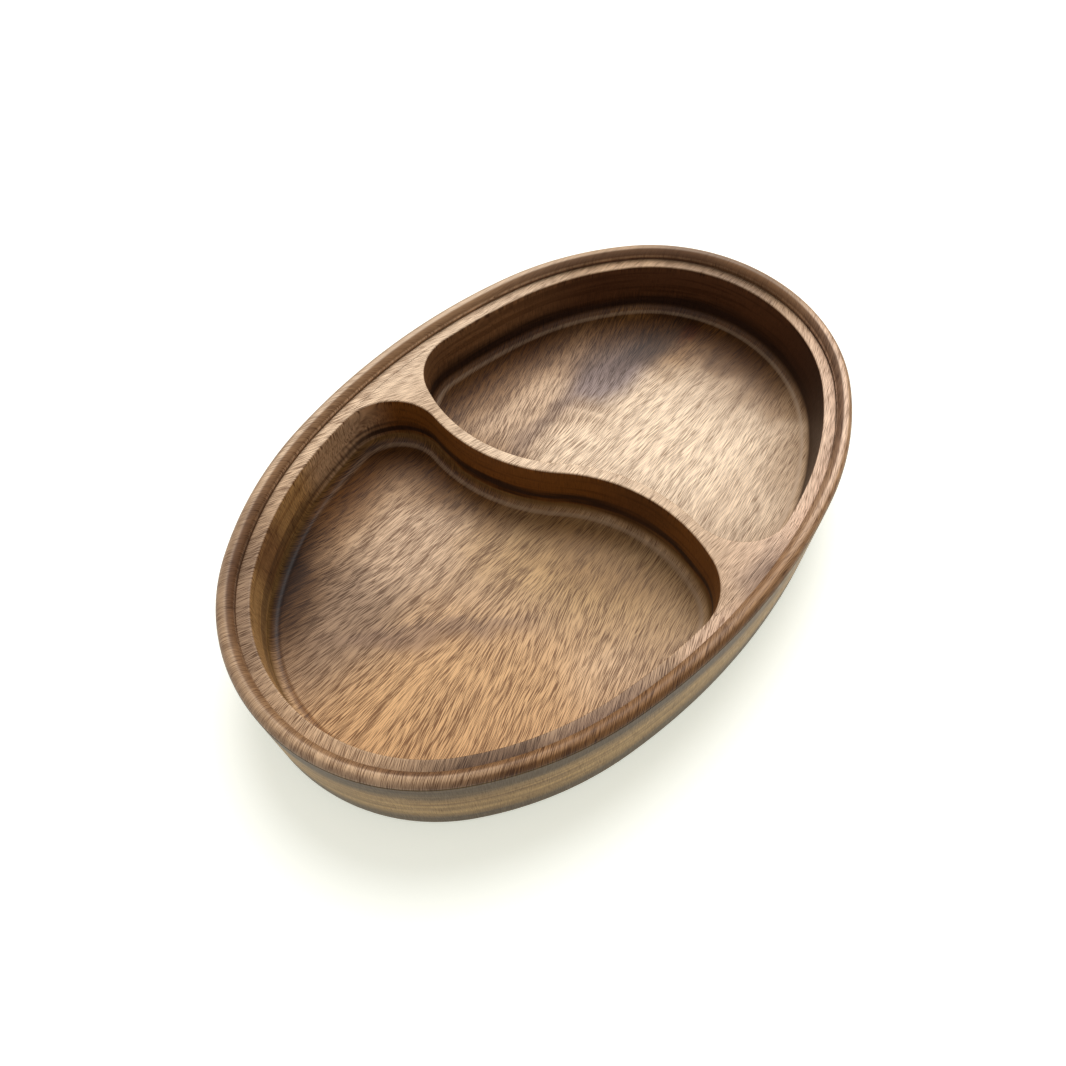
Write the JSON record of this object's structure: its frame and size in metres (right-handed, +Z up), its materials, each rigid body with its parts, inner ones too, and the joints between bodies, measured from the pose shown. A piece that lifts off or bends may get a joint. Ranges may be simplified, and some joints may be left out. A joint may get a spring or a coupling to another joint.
{
  "type": "divided oval wooden dish",
  "caption": "Low oval wooden dish with a rounded lip, a narrow lid ledge and an S-shaped divider between two coved pockets.",
  "frame": {"origin": "centre of the flat underside, on the surface that the dish stands on", "axes": "+X along the dish's length, +Y across it, +Z up out of the pockets"},
  "size_m": [0.25, 0.1644, 0.041],
  "materials": {
    "wood": "satin lacquer over open-pored hardwood"
  },
  "bodies": {
    "root": {"base": "wood", "wall": "wood", "divider": "wood", "lip": "wood"}
  },
  "joints": []
}
